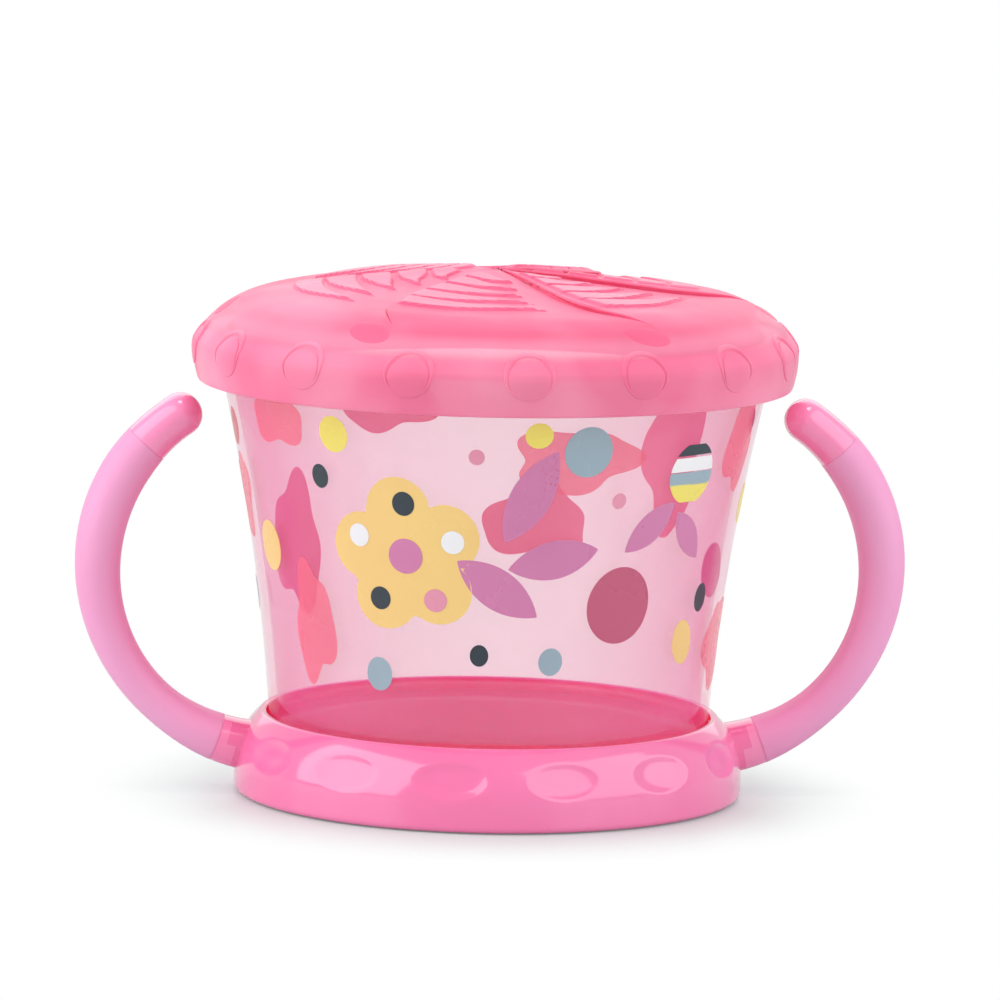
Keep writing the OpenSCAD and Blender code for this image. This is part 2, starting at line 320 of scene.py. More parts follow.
basePlastic = mouldedMaterial("basePlastic", paint(248, 114, 170), paint(250, 124, 178),
                              0.1, 0.18, bump=0.004, coat=0.55)
# painted light: the handles beyond the dish are a lighter copy of the base's plastic, as though lit more
# brightly
tipPaintedLightPlastic = mouldedMaterial("tipPaintedLightPlastic", paint(255, 140, 188), paint(255, 150, 196),
                             0.14, 0.24, bump=0.004, coat=0.4)
# painted light: the well is a deeper, more saturated pink than the base, standing in for the pink light
# that reaches it through the cup and lid
wellPaintedLightPlastic = mouldedMaterial("wellPaintedLightPlastic", paint(255, 42, 80), paint(255, 56, 94),
                              0.14, 0.24, bump=0.004, coat=0.3)
gripRubber = mouldedMaterial("gripRubber", paint(243, 160, 204), paint(241, 152, 198),
                             0.5, 0.62, grainScale=2600, bump=0.015)
cupPlastic = mouldedMaterial("cupPlastic", paint(236, 90, 162), paint(240, 102, 172),
                             0.04, 0.09, grainScale=500, bump=0.003)
facingAlpha(cupPlastic, 0.12, 0.36, 0.35)


def lidMaterial(name, main, drift, polished, dulled, faceOn, edgeOn, driftScale=45, bump=0.005):
    # one of the soft lid's rubbers; its dull skin mirrors less than a hard moulding does
    rubber = mouldedMaterial(name, paint(*main), paint(*drift), polished, dulled,
                             driftScale=driftScale, bump=bump)
    shader = rubber.node_tree.nodes["Principled BSDF"]
    shader.inputs["Specular IOR Level"].default_value = 0.18
    shader.inputs["IOR"].default_value = 1.41
    facingAlpha(rubber, faceOn, edgeOn, 0.45)
    return rubber


lidRubber = lidMaterial("lidRubber", (240, 117, 155), (251, 146, 179), 0.3, 0.42, 0.54, 0.84)
rimRubber = lidMaterial("rimRubber", (246, 122, 160), (253, 148, 181), 0.28, 0.4, 0.52, 0.78)
# painted highlight: the strip above the cup's rim takes this pale colour
layerRim(rimRubber, paint(255, 178, 206), 0.45, 0.42)
lidEdgeRubber = lidMaterial("lidEdgeRubber", (255, 100, 146), (255, 112, 156), 0.25, 0.4, 0.75, 0.9,
                            driftScale=30, bump=0.01)
# painted highlight on the tongues' tops, and painted shade along their outlines
tongueHighlightRubber = lidMaterial("tongueHighlightRubber", (244, 142, 174), (246, 152, 182), 0.26, 0.38, 0.5, 0.9)
tongueShadeRubber = lidMaterial("tongueShadeRubber", (238, 104, 145), (242, 114, 153), 0.3, 0.42, 0.68, 0.92)
lobeRubber = lidMaterial("lobeRubber", (244, 104, 146), (247, 114, 154), 0.28, 0.4, 0.45, 0.7,
                         driftScale=30)
print("finishes made")


# the camera and the light

cameraView = {"azimuth": -5.0, "elevation": 7.65, "roll": 1.19, "distance": 1230, "lens": 266.3,
              "aim": (0, 0, 48.84), "aside": 1.2}


def outwards(around, up):
    # a direction from the object's middle, in degrees round from the front and degrees up
    turn, rise = math.radians(around), math.radians(up)
    return Vector((math.sin(turn) * math.cos(rise), -math.cos(turn) * math.cos(rise), math.sin(rise)))


def placeCamera():
    turn = math.radians(cameraView["azimuth"])
    back = outwards(cameraView["azimuth"], cameraView["elevation"])
    right = Vector((math.cos(turn), math.sin(turn), 0))
    up = back.cross(right)
    # the photograph is rolled a little
    tilt = math.radians(cameraView["roll"])
    sideways = right * math.cos(tilt) + up * math.sin(tilt)
    upwards = up * math.cos(tilt) - right * math.sin(tilt)
    place = Vector(cameraView["aim"]) + right * cameraView["aside"] + back * cameraView["distance"]
    lens = bpy.data.cameras.new("camera")
    lens.lens = cameraView["lens"]
    lens.sensor_width = 36
    lens.clip_start = 0.01
    camera = bpy.data.objects.new("camera", lens)
    bpy.context.scene.collection.objects.link(camera)
    turned = Matrix((sideways, upwards, back)).transposed().to_4x4()
    camera.matrix_world = Matrix.Translation(place * mm) @ turned
    bpy.context.scene.camera = camera


studio = {"floorSize": 6.0, "floorHeight": -0.0002, "worldLight": 0.32, "litFloor": 0.85,
          "litNear": 0.042, "litFar": 0.068, "lampAim": 0.04,
          # name, degrees round from the front, degrees up, distance, width, height, brightness
          "softboxes": [("leftSoftbox", -72, 28, 0.9, 1.0, 0.9, 2.4),
                        ("rightSoftbox", 56, 28, 0.9, 1.1, 0.9, 1.7),
                        ("backSoftbox", 175, 35, 1.0, 1.2, 0.9, 0.7),
                        ("topSoftbox", -5, 87, 0.9, 0.4, 0.25, 6.5)]}


def lightWorld():
    # plain white where the camera or a mirror-like face sees it, and a dimmer light on everything else
    world = bpy.data.worlds.new("studio")
    bpy.context.scene.world = world
    world.use_nodes = True
    tree = world.node_tree
    nodes, links = tree.nodes, tree.links
    soft = nodes["Background"]
    soft.inputs["Color"].default_value = (1, 1, 1, 1)
    soft.inputs["Strength"].default_value = studio["worldLight"]
    white = nodes.new("ShaderNodeBackground")
    white.inputs["Strength"].default_value = 1
    path = nodes.new("ShaderNodeLightPath")
    seen = mathNode(tree, "MAXIMUM", path.outputs["Is Camera Ray"], path.outputs["Is Transmission Ray"])
    mix = nodes.new("ShaderNodeMixShader")
    links.new(mathNode(tree, "MAXIMUM", seen, path.outputs["Is Glossy Ray"]), mix.inputs["Fac"])
    links.new(soft.outputs["Background"], mix.inputs[1])
    links.new(white.outputs["Background"], mix.inputs[2])
    links.new(mix.outputs["Shader"], nodes["World Output"].inputs["Surface"])


def placeSoftboxes():
    aim = Vector((0, 0, studio["lampAim"]))
    for name, around, up, away, wide, high, brightness in studio["softboxes"]:
        lamp = bpy.data.lights.new(name, "AREA")
        lamp.shape = "RECTANGLE"
        lamp.size = wide
        lamp.size_y = high
        lamp.energy = brightness * math.pi * wide * high
        holder = bpy.data.objects.new(name, lamp)
        holder.location = outwards(around, up) * away + aim
        holder.rotation_euler = (aim - holder.location).to_track_quat("-Z", "Y").to_euler()
        bpy.context.scene.collection.objects.link(holder)


def layFloor():
    # the floor shows the object's shadow close to it, and plain white farther out
    deselectEverything()
    bpy.ops.mesh.primitive_plane_add(size=studio["floorSize"], location=(0, 0, studio["floorHeight"]))
    floor = bpy.context.object
    floor.name = "floor"
    pale = bpy.data.materials.new("paleFloor")
    pale.use_nodes = True
    tree = pale.node_tree
    nodes, links = tree.nodes, tree.links
    shader = nodes["Principled BSDF"]
    # the floor is tinted blue-green to cancel the pink light bounced from the base, so its shadow is
    # painted grey
    shader.inputs["Base Color"].default_value = (0.66, 0.84, 0.79, 1)
    shader.inputs["Roughness"].default_value = 0.35
    glow = nodes.new("ShaderNodeEmission")
    path = nodes.new("ShaderNodeLightPath")
    place = nodes.new("ShaderNodeTexCoord")
    away = nodes.new("ShaderNodeVectorMath")
    away.operation = "LENGTH"
    links.new(place.outputs["Object"], away.inputs[0])
    white = rangeNode(tree, away.outputs["Value"], studio["litNear"], studio["litFar"],
                      1 - studio["litFloor"], 1, smooth=True)
    mix = nodes.new("ShaderNodeMixShader")
    links.new(mathNode(tree, "MULTIPLY", path.outputs["Is Camera Ray"], white), mix.inputs["Fac"])
    links.new(shader.outputs["BSDF"], mix.inputs[1])
    links.new(glow.outputs["Emission"], mix.inputs[2])
    links.new(mix.outputs["Shader"], nodes["Material Output"].inputs["Surface"])
    floor.data.materials.append(pale)


placeCamera()
lightWorld()
placeSoftboxes()
layFloor()
bpy.context.scene.view_settings.view_transform = "Standard"
bpy.context.scene.cycles.transparent_max_bounces = 40
print("camera and light placed")


# the base: a glossy dish with thumb dimples and the hard cores of its two handles

base = {"radius": 42.3, "foot": 1.0, "side": 4.0, "shoulder": 12.0, "top": 13.2, "well": 37.05,
        "floor": 1.8, "corner": 0.8, "lip": 0.25, "dimples": 14, "dimpleLong": 6.1, "dimpleHigh": 3.1,
        "dimpleDepth": 0.8, "dimpleHeight": 8.4, "dimpleEdge": 3.4}


def baseProfile():
    r, z, centre = base["radius"], base["side"], base["radius"] - base["shoulder"]
    well, top, lipZ = base["well"], base["top"], base["top"] - base["lip"]
    floor, corner = base["floor"], base["corner"]
    topAngle = math.degrees(math.asin((lipZ - z) / base["shoulder"]))
    points = [(0, 0)] + between((0, 0), (r - base["foot"], 0), 6)
    points += arcPoints(r - base["foot"], base["foot"], base["foot"], -90, 0, 5)
    points += between((r, base["foot"]), (r, z), 4)
    points += arcPoints(centre, z, base["shoulder"], 0, topAngle, 34)
    lip = points[-1][0]
    points += [(lip - 0.2, top - 0.06), (lip - 0.42, top), (well + 0.15, top - 0.05), (well, lipZ)]
    points += between((well, lipZ), (well, floor + corner), 5)
    points += arcPoints(well - corner, floor + corner, corner, 0, -90, 4)
    return points + between((well - corner, floor), (0, floor), 5) + [(0, floor)]


def pressDimples(piece):
    # each dimple is a shallow oval pressed into the shoulder, square to its face
    centre = base["radius"] - base["shoulder"]
    middle = math.degrees(math.asin((base["dimpleHeight"] - base["side"]) / base["shoulder"]))
    places = [(i + 0.5) * 360 / base["dimples"] - 90 for i in range(base["dimples"])]
    # none where a handle's root stands
    places = [a for a in places if abs(math.sin(math.radians(a))) > 0.2]
    for v in piece.data.vertices:
        r, z = math.hypot(v.co.x, v.co.y) / mm, v.co.z / mm
        if z < base["side"] - 1 or r < base["well"] + 0.6:
            continue
        around = math.degrees(math.atan2(v.co.y, v.co.x))
        climb = math.atan2(z - base["side"], r - centre)
        up = math.radians(math.degrees(climb) - middle) * base["shoulder"]
        for a in places:
            along = math.radians((around - a + 180) % 360 - 180) * r
            reach = math.hypot(along / base["dimpleLong"], up / base["dimpleHigh"])
            if reach < 1:
                depth = base["dimpleDepth"] * (1 - reach ** base["dimpleEdge"]) * mm
                out = Vector((math.cos(math.radians(around)) * math.cos(climb),
                              math.sin(math.radians(around)) * math.cos(climb), math.sin(climb)))
                v.co -= out * depth


handle = {"arc": 30.5, "arcX": 35.0, "arcZ": 37.4, "wide": 7.6, "deep": 10.0, "rootAngle": -86,
          "tipAngle": 56, "gripFrom": -70, "gripTo": 42, "waist": 0.86, "rootGrowth": 0.24,
          "topGrowth": 0.18, "tipShrink": 0.09, "sleeve": 0.95, "underSleeve": 0.76, "gripOver": 1.004}


def handleSize(angle):
    # the bar flares at its root, is slimmest below its middle and fullest below its tip
    return (handle["waist"] + handle["rootGrowth"] * (1 - ease(-84, -46, angle))
            + handle["topGrowth"] * ease(-42, 22, angle) - handle["tipShrink"] * ease(30, 55, angle))


def flatShare(around):
    # the share of the bar's extra depth that a point of its section takes, to either side
    sine = math.sin(around)
    return sine / max(abs(sine), 0.25) * min(abs(sine) * 2.2, 1)


def onHandle(angle, out, across, ahead=0.0):
    # a point of the right handle: out from its middle curve, across it and ahead along it
    turn = math.radians(angle)
    r = handle["arc"] + out
    return Vector((handle["arcX"] + r * math.cos(turn) - ahead * math.sin(turn), across,
                   handle["arcZ"] + r * math.sin(turn) + ahead * math.cos(turn))) * mm


def bendBar(rings):
    # a round bar made from a sphere: each of its rings takes one place on the handle's curve
    deselectEverything()
    bpy.ops.mesh.primitive_uv_sphere_add(segments=48, ring_count=len(rings) - 1, radius=mm)
    piece = bpy.context.object
    half, flat = handle["wide"] / 2, (handle["deep"] - handle["wide"]) / 2
    for v in piece.data.vertices:
        climb = math.degrees(math.asin(min(max(v.co.z / mm, -1), 1)))
        angle, scale, ahead = rings[round((climb + 90) / 180 * (len(rings) - 1))]
        around = math.atan2(v.co.y, v.co.x)
        pole = abs(climb) > 89.9
        size = handleSize(angle)
        out = 0 if pole else half * scale * size * math.cos(around)
        across = 0 if pole else half * scale * math.sin(around) + flat * size * scale * flatShare(around)
        v.co = onHandle(angle, out, across, ahead)
    faceOutwards(piece, 0.002)
    return piece


def handleCore():
    # each ring: its angle on the curve, its scale, and how far it stands ahead of that angle
    gripFrom, gripTo, tip = handle["gripFrom"], handle["gripTo"], handle["tipAngle"]
    rings = [(handle["rootAngle"], 0, 0), (handle["rootAngle"], 0.9, 0)]
    flare = [(-86, 1.2), (-85, 1.15), (-84, 1.1), (-83, 1.06), (-82, 1.03), (-81, 1.01)]
    rings += [(a, s, 0) for a, s in flare]
    rings += [(a, 1, 0) for a in (-79, -76, -73, -71, gripFrom - 0.04)] + [(gripFrom - 0.02, 0.9, 0)]
    rings += [(a, handle["underSleeve"], 0) for a in range(gripFrom + 2, gripTo, 5)]
    rings += [(gripTo + 0.02, 0.9, 0)] + [(a, 1, 0) for a in (gripTo + 0.04, 43, 46, 49, 52, 54)]
    tipReach = handle["wide"] / 2 * handleSize(tip) * 0.98
    for i in range(10):
        a = math.radians(90 * i / 10)
        rings.append((tip, math.cos(a), tipReach * math.sin(a)))
    return bendBar(rings + [(tip, 0, tipReach)])


def makeBase():
    dish = spinProfile(baseProfile(), 480)
    pressDimples(dish)
    right = handleCore()
    left = right.copy()
    left.data = right.data.copy()
    bpy.context.scene.collection.objects.link(left)
    left.data.transform(Matrix.Scale(-1, 4, (1, 0, 0)))
    faceOutwards(left, 0.002)
    joinParts([dish, right, left])
    piece = finishPiece(dish, "baseMoulding", [basePlastic, wellPaintedLightPlastic, tipPaintedLightPlastic], 50)
    for face in piece.data.polygons:
        # the well is painted a deeper pink, standing in for the pink light that reaches it through the cup
        # and lid, and the parts of the handles beyond the dish are painted lighter, as painted light
        reach = math.hypot(face.center.x, face.center.y) / mm
        if reach < base["well"] + 0.1 and base["floor"] - 0.1 < face.center.z / mm < base["top"] - 0.3:
            face.material_index = 1
        if reach > base["radius"] + 1.2:
            face.material_index = 2
    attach(piece, "base")
    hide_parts("base")


grip = {"rows": 40, "crowded": 0.04, "crowdedAngle": 0.8, "edge": 0.05}


def gripAngle(t):
    # where on the curve a share of the sleeve's length lies; the rows crowd together at both ends
    start, end, share, step = handle["gripFrom"], handle["gripTo"], grip["crowded"], grip["crowdedAngle"]
    if t < share:
        return start + t / share * step
    if t > 1 - share:
        return end - (1 - t) / share * step
    return start + step + (t - share) / (1 - 2 * share) * (end - start - 2 * step)


def makeGrip(side, name, node):
    # the soft sleeve: an open bar along the curve, given its thickness inwards
    deselectEverything()
    bpy.ops.mesh.primitive_cylinder_add(vertices=48, radius=1, depth=1, end_fill_type="NOTHING")
    piece = bpy.context.object
    bpy.ops.object.mode_set(mode="EDIT")
    last = 0.5 - grip["crowded"]
    rows = [last, -last] + [-last + 2 * last * i / grip["rows"] for i in range(1, grip["rows"])]
    for z in rows:
        bpy.ops.mesh.select_all(action="SELECT")
        bpy.ops.mesh.bisect(plane_co=(0, 0, z), plane_no=(0, 0, 1))
    bpy.ops.object.mode_set(mode="OBJECT")
    half, flat = handle["wide"] / 2, (handle["deep"] - handle["wide"]) / 2
    for v in piece.data.vertices:
        angle = gripAngle(v.co.z + 0.5)
        around = math.atan2(v.co.y, v.co.x)
        size = handleSize(angle) * handle["gripOver"]
        across = half * size * math.sin(around) + flat * size * flatShare(around)
        v.co = onHandle(angle, half * size * math.cos(around), across)
        v.co.x *= side
    faceOutwards(piece, 0.002)
    applyModifier(piece, "SOLIDIFY", thickness=handle["sleeve"] * mm, offset=-1)
    applyModifier(piece, "BEVEL", width=grip["edge"] * mm, segments=2, limit_method="ANGLE",
                  angle_limit=math.radians(50))
    finishPiece(piece, name, [gripRubber], 50)
    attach(piece, "base")
    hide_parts(node)


makeBase()
makeGrip(-1, "leftGripSleeve", "left_grip")
makeGrip(1, "rightGripSleeve", "right_grip")
print("base and handles made")


# the cup: a clear flared tumbler with a rim bead, a raised floor and a foot ring

cup = {"foot": 36.7, "wall": 1.5, "rim": 77.0, "floor": 13.0, "floorThick": 1.6, "slope": 0.075,
       "flare": 356, "collar": 13.2, "inside": 3.0, "bead": 0.3, "beadHigh": 1.5, "footZ": 1.9,
       "wallRows": 30}


def wallRadius(z):
    up = max(z - cup["collar"], 0)
    return cup["foot"] + cup["slope"] * up + up * up / (2 * cup["flare"])


def wallLine(fromZ, toZ, inwards):
    # points up or down the flared wall, on its outer face or a thickness inwards
    heights = [fromZ + (toZ - fromZ) * i / cup["wallRows"] for i in range(cup["wallRows"] + 1)]
    return [(wallRadius(z) - inwards, z) for z in heights]


def cupProfile():
    wall, foot, footZ, collar = cup["wall"], cup["foot"], cup["footZ"], cup["collar"]
    rim, floor, under = cup["rim"], cup["floor"], cup["floor"] - cup["floorThick"]
    inFoot, inRim, out = foot - wall, wallRadius(rim) - wall, wallRadius(rim) + cup["bead"]
    beadLow, low = rim - cup["beadHigh"], floor + cup["inside"]
    # from the middle of the underside, round the foot ring
    points = [(0, under)] + between((0, under), (inFoot - 0.6, under), 5)
    points += arcPoints(inFoot - 0.6, under - 0.6, 0.6, 90, 0, 3)
    points += [(inFoot, footZ + 0.4), (inFoot + 0.35, footZ), (foot - 0.35, footZ), (foot, footZ + 0.4)]
    points += between((foot, footZ + 0.4), (foot, collar), 5)
    # up the wall, over the rim's bead and down inside
    points += wallLine(collar, beadLow - 0.3, 0)
    points += [(out - 0.1, beadLow + 0.05), (out, beadLow + 0.3), (out, rim - 0.45)]
    points += [(out - 0.13, rim - 0.13), (out - 0.45, rim), (inRim + 0.35, rim), (inRim + 0.08, rim - 0.15)]
    points += wallLine(rim - 0.5, low, wall)
    corner = wallRadius(low) - wall - cup["inside"]
    points += arcPoints(corner, low, cup["inside"], 0, -90, 9)[1:]
    return points + between((corner, floor), (0, floor), 6) + [(0, floor)]


def makeCup():
    piece = spinProfile(cupProfile(), 256)
    finishPiece(piece, "cupTumbler", [cupPlastic], 35)
    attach(piece, "cup")
    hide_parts("cup")


makeCup()
print("cup made")


# the print: plain shapes in thin films of ink, wrapped on the cup's wall

# each film's thickness, and how far its layer stands off the wall and the layer below
filmThick, filmClear, filmStep = 0.03, 0.02, 0.05

# red, green, blue and how much each ink covers
inks = {"golden": (250, 202, 128, 0.97), "yellow": (246, 220, 104, 0.97),
        "charcoal": (46, 50, 62, 0.99), "white": (246, 236, 242, 0.97),
        "blueGrey": (158, 172, 186, 0.97), "orchid": (216, 124, 172, 0.95),
        "rose": (206, 88, 124, 0.88), "coral": (255, 112, 146, 0.58), "blush": (240, 150, 178, 0.9)}

# ink, degrees round from the front, height, outline, its sizes, layer
motifs = [
    ("golden", -25, 44.5, "blossom", (13.2, 5, 8), 1), ("orchid", -25, 44.5, "oval", (2.9, 2.9, 0), 2),
    ("charcoal", -25, 53.2, "oval", (1.9, 2.0, 0), 2), ("white", -36.5, 47.4, "oval", (1.8, 1.9, 0), 2),
    ("charcoal", -31.8, 37.2, "oval", (1.8, 1.9, 0), 2), ("blush", -18.0, 37.4, "oval", (1.9, 1.9, 0), 2),
    ("white", -13.8, 47.2, "oval", (1.9, 1.9, 0), 2),
    ("orchid", 3.5, 55.0, "leaf", (8.6, 3.4, 62), 1), ("orchid", -3.5, 39.6, "leaf", (8.0, 3.3, -35), 1),
    ("orchid", 9.5, 44.5, "leaf", (7.6, 3.2, 12), 1),
    ("rose", 27, 36.5, "oval", (5.9, 6.4, 0), 1), ("blueGrey", 15.5, 62.4, "oval", (4.1, 4.2, 0), 2),
    ("yellow", 4.5, 65.2, "oval", (2.3, 2.1, 0), 2),
    ("charcoal", 44, 61.6, "band", (5.2, 3.0, 4.8), 1), ("white", 44, 59.2, "band", (5.2, 0.6, 2.9), 1),
    ("blueGrey", 44, 56.8, "band", (5.2, -1.7, 0.5), 1),
    ("yellow", 44, 54.4, "band", (5.2, -4.8, -1.8), 1),
    ("orchid", 33.5, 49.2, "leaf", (6.0, 2.5, 40), 1), ("orchid", 46, 47.2, "leaf", (5.4, 2.3, -50), 1),
    ("charcoal", -46, 56.5, "oval", (1.7, 2.0, 0), 1), ("yellow", -41, 63.8, "oval", (2.8, 3.0, 0), 1),
    ("golden", -69, 43.0, "oval", (3.4, 4.2, 0), 1), ("blueGrey", -33, 24.5, "oval", (2.3, 2.8, 0), 1),
    ("charcoal", 56, 36.0, "oval", (1.8, 2.4, 0), 1), ("golden", 50, 29.0, "oval", (2.6, 3.8, 15), 1),
    ("blueGrey", 10, 27.5, "oval", (2.0, 2.3, 0), 1), ("blush", -8.5, 61.5, "oval", (1.3, 1.3, 0), 1),
    ("blush", 24, 54.0, "oval", (1.3, 1.3, 0), 1), ("charcoal", -7.5, 28.5, "oval", (1.5, 1.8, 0), 1),
    ("yellow", 77, 50.0, "oval", (2.8, 3.4, 0), 1), ("golden", -100, 60.0, "oval", (2.8, 3.2, 0), 1),
    ("charcoal", 96, 62.0, "oval", (1.8, 2.1, 0), 1), ("blueGrey", -92, 33.0, "oval", (2.6, 3.0, 0), 1),
    ("rose", 104, 36.0, "oval", (4.2, 4.6, 0), 1),
    ("coral", 13, 61.0, "cloud", (10.5, 5.2, 1), 1), ("coral", -53, 31.5, "cloud", (4.6, 9.5, 2), 1),
    ("coral", -58, 65.5, "cloud", (6.5, 5.0, 3), 1), ("coral", 63, 62.0, "cloud", (5.2, 8.5, 4), 1),
    ("coral", 72, 27.0, "cloud", (6.0, 7.5, 5), 1), ("coral", -84, 50.5, "cloud", (4.4, 7.0, 6), 1),
    ("coral", 128, 53.0, "cloud", (6.5, 12.0, 7), 1), ("coral", -128, 38.0, "cloud", (6.5, 11.0, 8), 1),
    ("coral", 164, 40.0, "cloud", (9.0, 6.5, 9), 1), ("coral", -160, 61.0, "cloud", (8.5, 6.0, 10), 1)]


def outlinePoint(kind, sizes, around):
    # the outline of a motif at an angle, in mm along the wall and up it
    c, sn = math.cos(around), math.sin(around)
    if kind == "blossom":
        reach, petals, turned = sizes
        petal = abs(math.cos(petals / 2 * (around - math.radians(turned + 90))))
        r = reach * (0.7 + 0.3 * petal ** 0.75)
        return r * c, r * sn
    if kind == "cloud":
        wide, high, seed = sizes
        r = 1 + 0.13 * math.sin(3 * around + seed) + 0.09 * math.sin(5 * around + 2.1 * seed)
        return wide * r * c, high * r * sn
    if kind == "band":
        # one stripe of a striped disc, square-cornered where it meets the next
        radius, low, high = sizes
        u, v = min(max(1.5 * c, -1), 1), min(max(1.5 * sn, -1), 1)
        up = (low + high) / 2 + (high - low) / 2 * v
        return u * math.sqrt(max(radius ** 2 - up ** 2, 0.04)), (high - low) / 2 * v
    wide, high, turned = sizes
    tilt = math.radians(turned)
    x, y = wide * c, high * sn
    if kind == "leaf":
        y *= abs(sn) ** 0.8
    return x * math.cos(tilt) - y * math.sin(tilt), x * math.sin(tilt) + y * math.cos(tilt)


def makeMotif(across, height, kind, sizes, layer):
    # a filled circle, ringed by insets so that it can bend round the wall
    deselectEverything()
    bpy.ops.mesh.primitive_circle_add(vertices=64, radius=1, fill_type="NGON")
    piece = bpy.context.object
    bpy.ops.object.mode_set(mode="EDIT")
    bpy.ops.mesh.select_all(action="SELECT")
    for i in range(4):
        bpy.ops.mesh.inset(thickness=0.2)
    bpy.ops.mesh.poke()
    bpy.ops.object.mode_set(mode="OBJECT")
    for v in piece.data.vertices:
        share = v.co.length
        along, up = outlinePoint(kind, sizes, math.atan2(v.co.y, v.co.x))
        z = height + up * share
        r = wallRadius(z) + filmClear + filmStep * layer
        turn = math.radians(across) + along * share / r
        v.co = Vector((r * math.sin(turn), -r * math.cos(turn), z)) * mm
    return piece


def makePrint():
    for ink, (red, green, blue, cover) in inks.items():
        film = joinParts([makeMotif(*motif[1:]) for motif in motifs if motif[0] == ink])
        applyModifier(film, "SOLIDIFY", thickness=filmThick * mm, offset=1)
        drift = paint(red * 0.985, green * 0.97, blue * 0.98)
        dye = mouldedMaterial(ink + "Ink", paint(red, green, blue), drift, 0.24, 0.36,
                              grainScale=1800, driftScale=60, bump=0.003)
        dye.node_tree.nodes["Principled BSDF"].inputs["Alpha"].default_value = cover
        piece = finishPiece(film, "print" + ink[0].upper() + ink[1:], [dye], 40)
        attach(piece, "cup")


makePrint()
print("print made")


# the lid: a bulged band, a domed ring, and six curved flaps set like a pinwheel

lid = {"bandIn": 47.8, "bandOut": 50.2, "low": 68.6, "bulge": 17.0, "bulgeZ": 74.1, "top": 87.5,
       "slope": math.radians(6.0), "roundFrom": 37.3, "round": 16.8, "thick": 1.5, "skirtIn": 43.45,
       "skirtOut": 44.65, "skirtLow": 74.0, "seat": 77.1, "seam": 43.0}


def domeCentre():
    # the middle of the rounding between the dome's slope and the band
    z = lid["top"] - lid["roundFrom"] * math.tan(lid["slope"])
    return (lid["roundFrom"] - lid["round"] * math.sin(lid["slope"]),
            z - lid["round"] * math.cos(lid["slope"]))


def domeHeight(r, inside=0.0):
    x, z = domeCentre()
    if r < lid["roundFrom"] - inside * 0.1:
        return lid["top"] - inside / math.cos(lid["slope"]) - r * math.tan(lid["slope"])
    return z + math.sqrt(max((lid["round"] - inside) ** 2 - (r - x) ** 2, 0))


def lidOutside():
    # the lid's outer line from the seam down to the band's lower edge
    x, z = domeCentre()
    bulgeX = lid["bandOut"] - lid["bulge"]
    points = []
    a = math.degrees(math.acos((lid["seam"] - x) / lid["round"]))
    while True:
        p = (x + lid["round"] * math.cos(math.radians(a)), z + lid["round"] * math.sin(math.radians(a)))
        if math.hypot(p[0] - bulgeX, p[1] - lid["bulgeZ"]) > lid["bulge"]:
            break
        points.append(p)
        a -= 1.0
    # a short chamfer joins the dome's rounding to the band's bulge
    points = points[:-1]
    b = math.degrees(math.asin((points[-1][1] - 0.9 - lid["bulgeZ"]) / lid["bulge"]))
    end = math.degrees(math.asin((lid["low"] + 0.45 - lid["bulgeZ"]) / lid["bulge"]))
    points += arcPoints(bulgeX, lid["bulgeZ"], lid["bulge"], b, end, 24)
    edge = points[-1]
    points += [(edge[0] - 0.16, lid["low"] + 0.14), (edge[0] - 0.5, lid["low"])]
    return points


def lidInside():
    # from the band's lower edge, up to the channel over the cup's rim, round the skirt and up to the dome
    band, skirtIn, skirtOut = lid["bandIn"], lid["skirtIn"], lid["skirtOut"]
    low, seat, turnZ = lid["low"], lid["seat"], lid["skirtLow"] + 0.5
    points = [(band + 0.4, low), (band + 0.1, low + 0.12), (band, low + 0.4)]
    points += between((band, low + 0.4), (band, seat), 6) + [(band, seat), (skirtOut, seat)]
    points += between((skirtOut, seat), (skirtOut, turnZ), 3)
    points += arcPoints(skirtOut - 0.6, turnZ, 0.6, 0, -180, 6)
    points += between((skirtIn, turnZ), (skirtIn, domeHeight(skirtIn, lid["thick"]) - 0.3), 4)
    return points + [(lid["seam"], domeHeight(lid["seam"], lid["thick"]))]


def makeRim():
    start = (lid["seam"], domeHeight(lid["seam"]))
    return spinProfile([start] + lidOutside()[1:] + lidInside() + [start], 384)


rings = {"count": 16, "height": 75.2, "spot": 3.45, "spotDrop": 0.65, "loop": 3.95, "line": 0.5,
         "faintest": 0.35, "out": 0.28, "turn": 1.4}


def bandLine():
    # the outer line with its length counted from the rings' height
    line = lidOutside()
    lengths = [0]
    for (r0, z0), (r1, z1) in zip(line, line[1:]):
        lengths.append(lengths[-1] + math.hypot(r1 - r0, z1 - z0))
    middle = min(range(len(line)), key=lambda i: abs(line[i][1] - rings["height"]))
    return line, [lengths[middle] - d for d in lengths]


def onBand(line, lengths, along, up, out):
    # a point on the band: along it, up its outer line, and out from it
    best = 0
    for i in range(len(line) - 1):
        if lengths[i] >= up >= lengths[i + 1]:
            best = i
            break
    else:
        best = 0 if up > lengths[0] else len(line) - 2
    t = (lengths[best] - up) / max(lengths[best] - lengths[best + 1], 1e-6)
    r = line[best][0] + (line[best + 1][0] - line[best][0]) * t
    z = line[best][1] + (line[best + 1][1] - line[best][1]) * t
    before, after = line[max(best - 1, 0)], line[min(best + 2, len(line) - 1)]
    dr, dz = after[0] - before[0], after[1] - before[1]
    size = math.hypot(dr, dz)
    r, z = r - out * dz / size, z + out * dr / size
    turn = along / lid["bandOut"]
    return Vector((r * math.sin(turn), -r * math.cos(turn), z)) * mm


